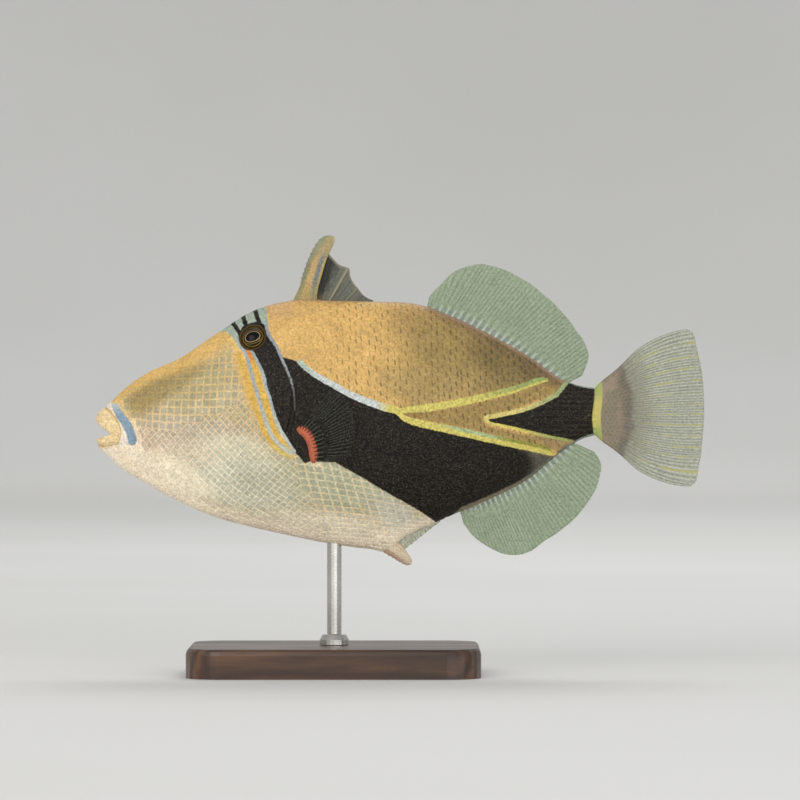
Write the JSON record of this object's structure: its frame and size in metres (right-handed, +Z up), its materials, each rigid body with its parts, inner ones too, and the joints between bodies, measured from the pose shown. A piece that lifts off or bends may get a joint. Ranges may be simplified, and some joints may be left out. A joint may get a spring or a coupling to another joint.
{
  "type": "reef triggerfish",
  "caption": "Life-size reef triggerfish, a still museum model with raised dorsal spine and spread fins, on a rod and flat wooden base.",
  "frame": {"origin": "centre of the underside of the stand's base, on the surface that the part rests on", "axes": "+X from the fish's snout towards its tail, along its length; -Y out of its left side; +Z up"},
  "size_m": [0.2504, 0.08, 0.1805],
  "materials": {
    "head_skin": "moist scaled skin, golden above and cream below, with blue and yellow lines",
    "trunk_skin": "moist scaled skin, golden ochre with a black band and yellow lines",
    "tail_skin": "moist scaled skin, black with a yellow outline",
    "eye": "wet and clear, with gold and brown rings round a dark pupil",
    "soft_fin": "thin membrane, pale sage green with whitish rays",
    "tail_fin": "thin membrane, grey-beige with yellowish rays",
    "pectoral": "clear membrane with pale rays on a red-orange lobe",
    "spine": "rough bone, ochre to greenish",
    "spine_membrane": "dark grey membrane between pale spines",
    "pelvic": "rough bone and ribbed skin, pinkish cream",
    "stand_wood": "oiled walnut, satin",
    "stand_steel": "brushed"
  },
  "bodies": {
    "root": {"head": "head_skin", "trunk": "trunk_skin", "tail_stalk": "tail_skin", "eye_left": "eye", "eye_right": "eye", "pectoral_fin_left": "pectoral", "pectoral_fin_right": "pectoral", "dorsal_spine_first": "spine", "spiny_dorsal_fin": "spine_membrane", "soft_dorsal_fin": "soft_fin", "anal_fin": "soft_fin", "caudal_fin": "tail_fin", "pelvic_spine": "pelvic", "pelvic_flap": "pelvic", "stand_base": "stand_wood", "stand_ferrule": "stand_steel", "stand_rod": "stand_steel"}
  },
  "joints": []
}
